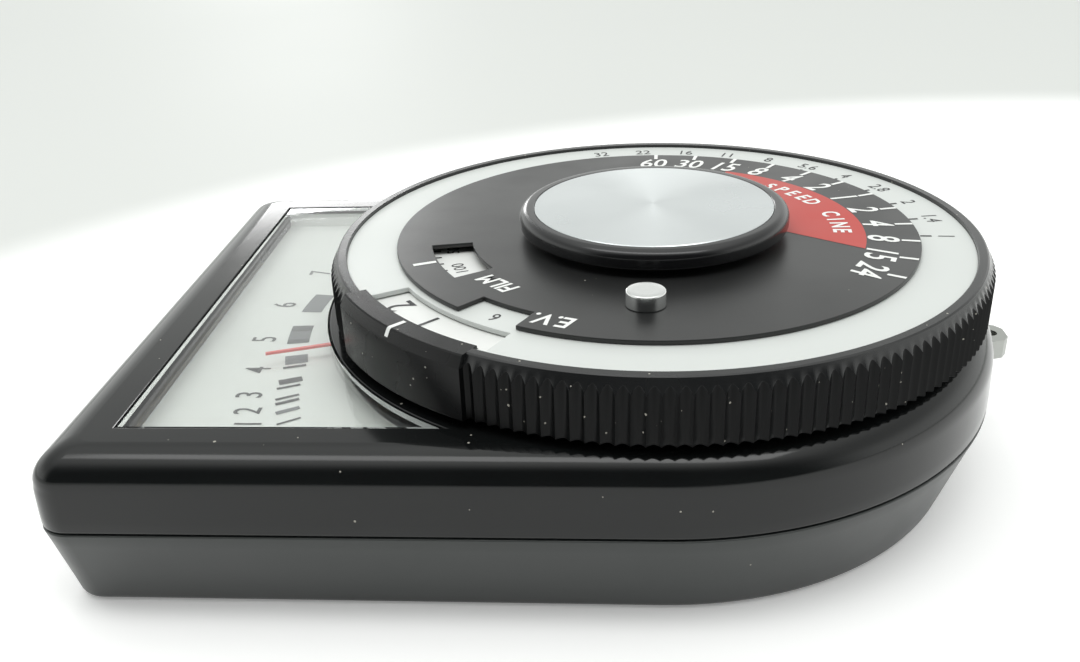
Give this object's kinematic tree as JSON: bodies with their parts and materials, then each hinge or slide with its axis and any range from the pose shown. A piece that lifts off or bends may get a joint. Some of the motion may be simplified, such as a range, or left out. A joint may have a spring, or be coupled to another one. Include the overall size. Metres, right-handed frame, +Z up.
{
  "type": "selenium light meter",
  "caption": "Pocket exposure meter: D-shaped black case, needle window, fluted light cell in the square end, ribbed calculator dial with film-speed disc, moving-coil movement inside.",
  "frame": {"origin": "on the dial's axis, on the flat back the meter rests on", "axes": "+X from the dial axis to the rounded end, -X to the light cell, +Z up through the dial, +Y completes the right-handed set"},
  "size_m": [0.0755, 0.0568, 0.0221],
  "materials": {
    "case_black": "moulded black, polished",
    "case_back": "moulded dark grey, satin",
    "clear_window": "clear acrylic",
    "clear_lens": "fluted clear acrylic",
    "steel_screw": "turned steel",
    "lug_steel": "polished steel",
    "card_white": "white printed card",
    "plate_alloy": "rolled sheet",
    "brass_part": "turned brass",
    "iron_ring": "soft iron",
    "magnet": "cast magnet alloy, ground",
    "selenium": "selenium layer on a steel plate",
    "contact_metal": "sprung bronze",
    "copper_wire": "enamelled winding",
    "bobbin_alloy": "thin frame",
    "needle_red": "red enamel on aluminium",
    "spring_bronze": "flat spring strip",
    "resistor_tan": "coated resistor body",
    "lead_cover": "insulated lead",
    "ring_black": "moulded black, fine ribs",
    "annulus_silver": "pale satin anodised",
    "disc_white": "white printed plate",
    "disc_black": "dark grey satin print",
    "stud_alloy": "turned and polished",
    "washer_steel": "sprung washer",
    "cap_black": "moulded black",
    "cap_spun": "spun concentric finish",
    "jewel_brass": "jewelled screw"
  },
  "bodies": {
    "case": {"back_case": "case_back", "front_case": "case_black", "case_screws": "steel_screw", "strap_lug": "lug_steel", "meter_window": "clear_window", "cell_window": "clear_lens", "number_disc": "disc_white", "ring_washer": "washer_steel", "friction_washer": "washer_steel", "centre_bush": "brass_part", "centre_cap": "cap_black", "cap_disc": "cap_spun", "hub_screw": "steel_screw", "scale_plate": "plate_alloy", "scale_screws": "steel_screw", "pointer_stops": "brass_part", "cell_front_contact": "contact_metal", "selenium_cell": "selenium", "cell_back_contact": "contact_metal", "movement_plate": "brass_part", "plate_screws": "steel_screw", "bridge_posts": "brass_part", "upper_bridge": "brass_part", "bridge_screws": "steel_screw", "jewel_screw_upper": "jewel_brass", "jewel_screw_lower": "jewel_brass", "core_magnet": "magnet", "yoke_ring": "iron_ring", "core_spacers": "brass_part", "hairspring_upper": "spring_bronze", "hairspring_lower": "spring_bronze", "range_resistor": "resistor_tan", "lead_wires": "lead_cover", "scale_card": "card_white"},
    "dial": {"dial_ring": "ring_black", "aperture_plate": "annulus_silver"},
    "speed_setting": {"speed_disc": "disc_black", "set_stud": "stud_alloy"},
    "movement": {"pointer": "needle_red", "counterweights": "brass_part", "coil_bobbin": "bobbin_alloy", "coil_winding": "copper_wire", "pivot_staffs": "steel_screw"},
    "zero_adjuster": {"zero_screw": "steel_screw"},
    "zero_arm": {"zero_lever": "brass_part"}
  },
  "joints": [
    {"name": "dial_turn", "type": "hinge", "parent": "case", "child": "dial", "pos_m": [0, 0, 0.017], "axis": [0, 0, 1], "continuous": true},
    {"name": "speed_turn", "type": "hinge", "parent": "case", "child": "speed_setting", "pos_m": [0, 0, 0.0196], "axis": [0, 0, 1], "continuous": true},
    {"name": "needle_swing", "type": "hinge", "parent": "case", "child": "movement", "pos_m": [-0.005, 0, 0.006], "axis": [0, 0, 1], "range_deg": [-52.5, 15.5], "stiffness_Nm_per_rad": 0.00002},
    {"name": "zero_turn", "type": "hinge", "parent": "case", "child": "zero_adjuster", "pos_m": [-0.0095, 0, 0.001], "axis": [0, 0, 1], "range_deg": [-45, 45]},
    {"name": "zero_arm_swing", "type": "hinge", "parent": "case", "child": "zero_arm", "pos_m": [-0.005, 0, 0.0024], "axis": [0, 0, 1], "range_deg": [-4.6, 4.6]}
  ],
  "couplings": [
    {"joint": "zero_arm_swing", "follows": "zero_turn", "ratio": 0.1}
  ]
}
